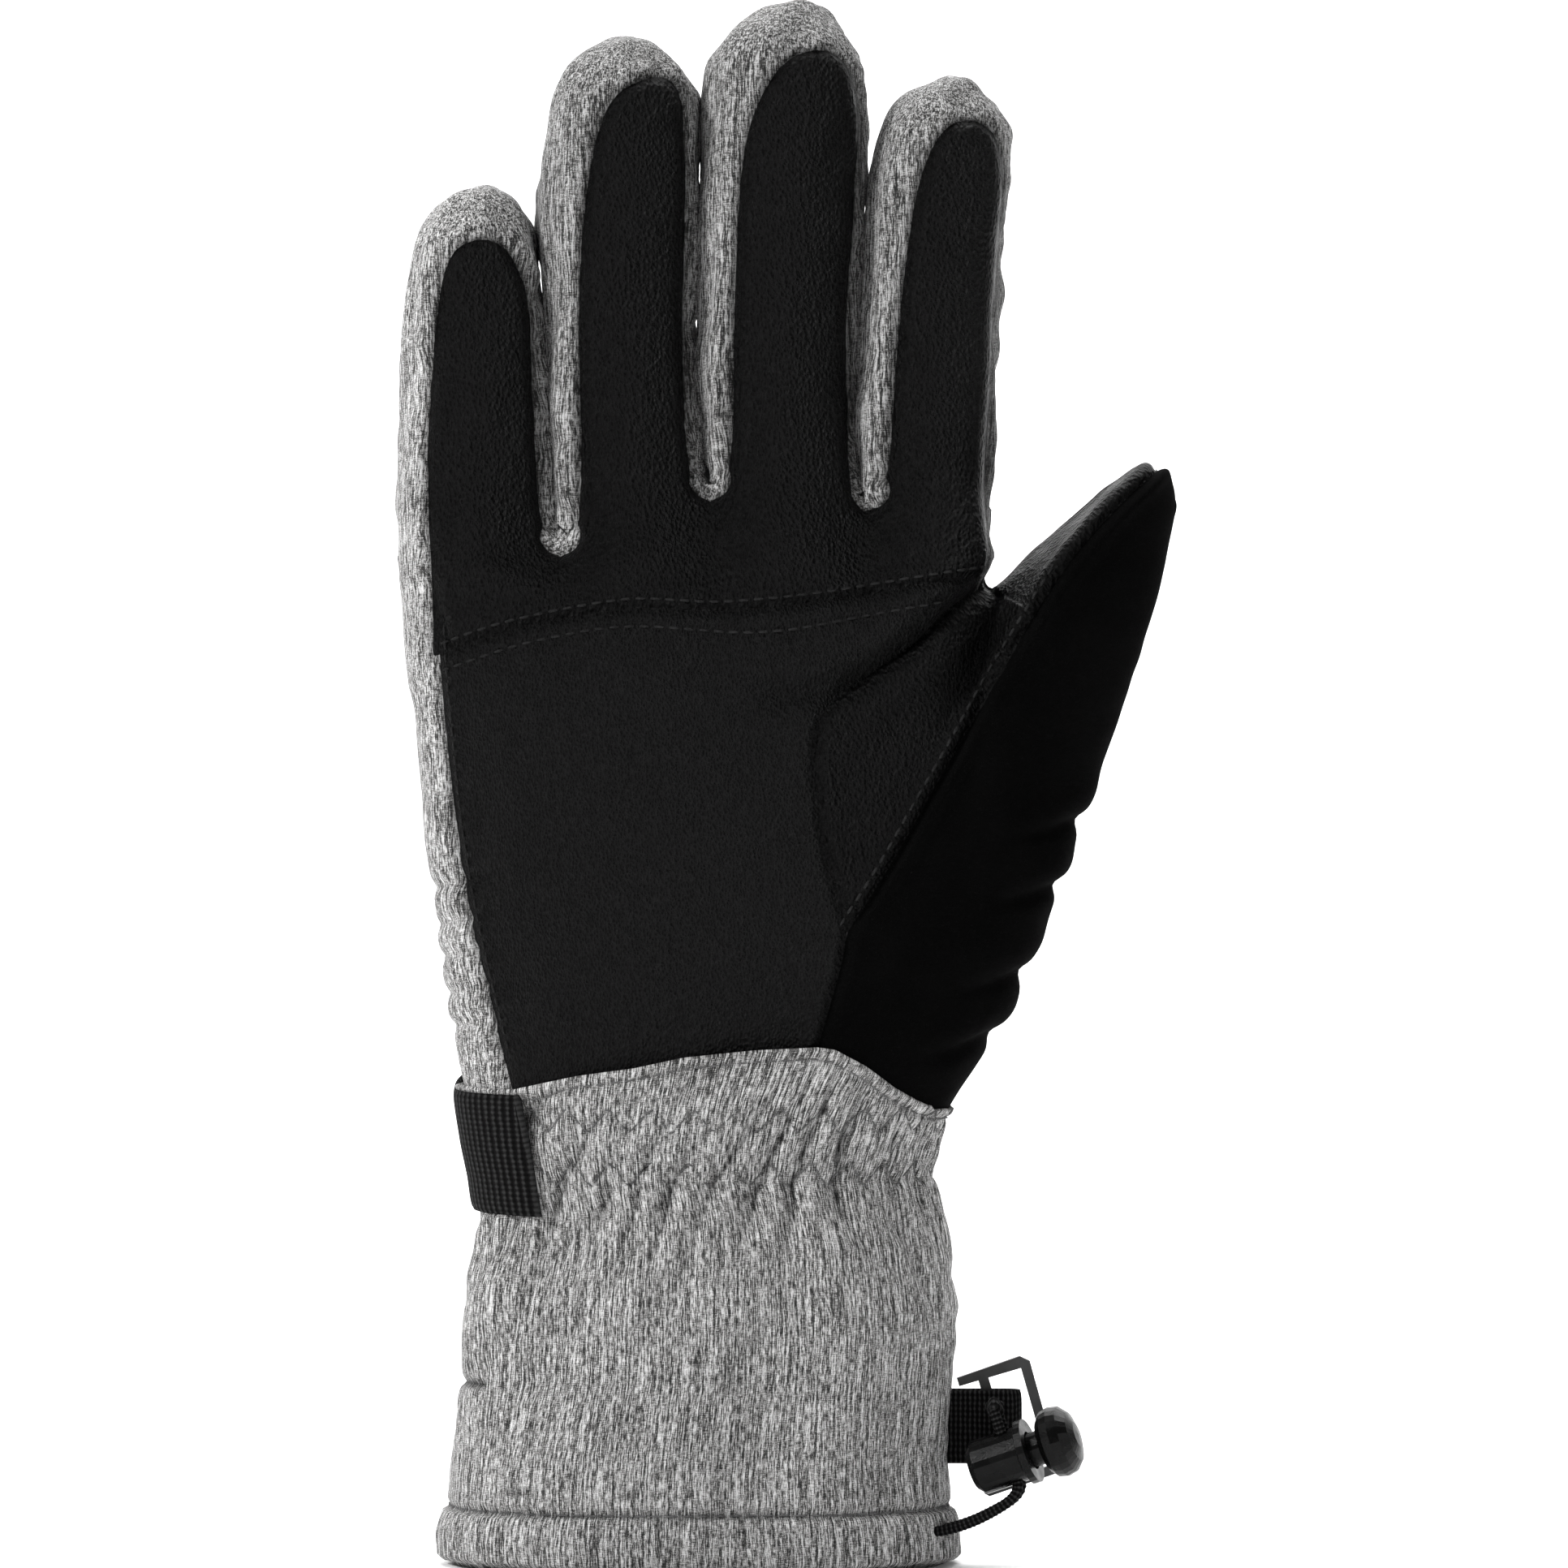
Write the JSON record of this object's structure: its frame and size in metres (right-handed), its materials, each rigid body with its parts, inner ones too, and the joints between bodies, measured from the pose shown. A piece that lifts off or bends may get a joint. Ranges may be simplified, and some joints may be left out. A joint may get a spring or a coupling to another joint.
{
  "type": "ski glove",
  "caption": "Insulated right-hand ski glove with leather palm, grey heather back, gathered wrist, webbing strap and a drawcord gauntlet, standing on its hem.",
  "frame": {"origin": "centre of the bounding box at the plane the gauntlet's hem stands on", "axes": "+Z along the straight fingers, -Y out of the palm, +X towards the thumb"},
  "size_m": [0.1469, 0.0608, 0.2957],
  "materials": {
    "leather": "fine-grained, semi-matt black",
    "heather": "heathered grey woven softshell",
    "softshell": "matt black stretch softshell",
    "lining": "brushed fleece over insulation",
    "webbing": "black knitted webbing and cord",
    "black_plastic": "moulded, satin black",
    "grey_plastic": "moulded, satin grey",
    "spring_steel": "bright wire"
  },
  "bodies": {
    "gauntlet": {"gauntlet_shell": "heather", "gauntlet_lining": "lining", "hem_binding": "heather", "hem_drawcord": "webbing", "pair_clip_tether": "webbing"},
    "hand": {"hand_back_shell": "heather", "hand_liner": "lining", "palm_upper_leather": "leather", "palm_lower_leather": "leather", "thumb_gusset_leather": "leather", "thumb_outer_softshell": "softshell", "wrist_gather": "heather", "wrist_elastic": "webbing", "wrist_strap": "webbing", "strap_hook_patch": "lining", "thumb_near_face": "leather", "thumb_near_back": "softshell", "thumb_near_liner": "lining"},
    "strap_end": {"strap_tab": "webbing"},
    "cord_lock": {"cord_lock_barrel": "black_plastic", "cord_lock_spring": "spring_steel"},
    "lock_button": {"cord_lock_button": "black_plastic"},
    "pair_hook": {"pair_clip": "grey_plastic"},
    "little_near": {"little_near_face": "leather", "little_near_back": "heather", "little_near_liner": "lining"},
    "little_far": {"little_far_face": "leather", "little_far_back": "heather", "little_far_liner": "lining"},
    "ring_near": {"ring_near_face": "leather", "ring_near_back": "heather", "ring_near_liner": "lining"},
    "ring_far": {"ring_far_face": "leather", "ring_far_back": "heather", "ring_far_liner": "lining"},
    "middle_near": {"middle_near_face": "leather", "middle_near_back": "heather", "middle_near_liner": "lining"},
    "middle_far": {"middle_far_face": "leather", "middle_far_back": "heather", "middle_far_liner": "lining"},
    "index_near": {"index_near_face": "leather", "index_near_back": "heather", "index_near_liner": "lining"},
    "index_far": {"index_far_face": "leather", "index_far_back": "heather", "index_far_liner": "lining"},
    "thumb": {"thumb_far_face": "leather", "thumb_far_back": "softshell", "thumb_far_liner": "lining"}
  },
  "joints": [
    {"name": "wrist_bend", "type": "hinge", "parent": "gauntlet", "child": "hand", "pos_m": [-0.016, 0, 0.086], "axis": [1, 0, 0], "range_deg": [-30, 30]},
    {"name": "strap_peel", "type": "hinge", "parent": "hand", "child": "strap_end", "pos_m": [-0.012, 0.0258, 0.086], "axis": [0, 0, 1], "range_deg": [0, 38]},
    {"name": "cord_lock_slide", "type": "slide", "parent": "gauntlet", "child": "cord_lock", "axis": [-0.3134, 0.0822, 0.946], "range_m": [0, 0.003]},
    {"name": "lock_button_press", "type": "slide", "parent": "cord_lock", "child": "lock_button", "axis": [-0.9151, 0.24, -0.324], "range_m": [0, 0.002], "stiffness_N_per_m": 400, "springref_m": -0.0015},
    {"name": "pair_clip_swivel", "type": "hinge", "parent": "gauntlet", "child": "pair_hook", "pos_m": [0.0405, -0.0025, 0.0258], "axis": [-0.284, 0, 0.9588], "range_deg": [-35, 35]},
    {"name": "little_root_bend", "type": "hinge", "parent": "hand", "child": "little_near", "pos_m": [-0.0592, 0, 0.2005], "axis": [1, 0, 0], "range_deg": [0, 75]},
    {"name": "little_middle_bend", "type": "hinge", "parent": "little_near", "child": "little_far", "pos_m": [-0.05863, 0, 0.2285], "axis": [1, 0, 0], "range_deg": [0, 85]},
    {"name": "ring_root_bend", "type": "hinge", "parent": "hand", "child": "ring_near", "pos_m": [-0.0308, 0, 0.2091], "axis": [1, 0, 0], "range_deg": [0, 75]},
    {"name": "ring_middle_bend", "type": "hinge", "parent": "ring_near", "child": "ring_far", "pos_m": [-0.03073, 0, 0.2411], "axis": [1, 0, 0], "range_deg": [0, 85]},
    {"name": "middle_root_bend", "type": "hinge", "parent": "hand", "child": "middle_near", "pos_m": [-0.001, 0, 0.2123], "axis": [1, 0, 0], "range_deg": [0, 75]},
    {"name": "middle_middle_bend", "type": "hinge", "parent": "middle_near", "child": "middle_far", "pos_m": [-0.00079, 0, 0.2463], "axis": [1, 0, 0], "range_deg": [0, 85]},
    {"name": "index_root_bend", "type": "hinge", "parent": "hand", "child": "index_near", "pos_m": [0.028, 0, 0.2059], "axis": [1, 0, 0], "range_deg": [0, 75]},
    {"name": "index_middle_bend", "type": "hinge", "parent": "index_near", "child": "index_far", "pos_m": [0.02856, 0, 0.2369], "axis": [1, 0, 0], "range_deg": [0, 85]},
    {"name": "thumb_bend", "type": "hinge", "parent": "hand", "child": "thumb", "pos_m": [0.05189, -0.002, 0.17577], "axis": [0.8387, 0, -0.5446], "range_deg": [0, 60]}
  ]
}
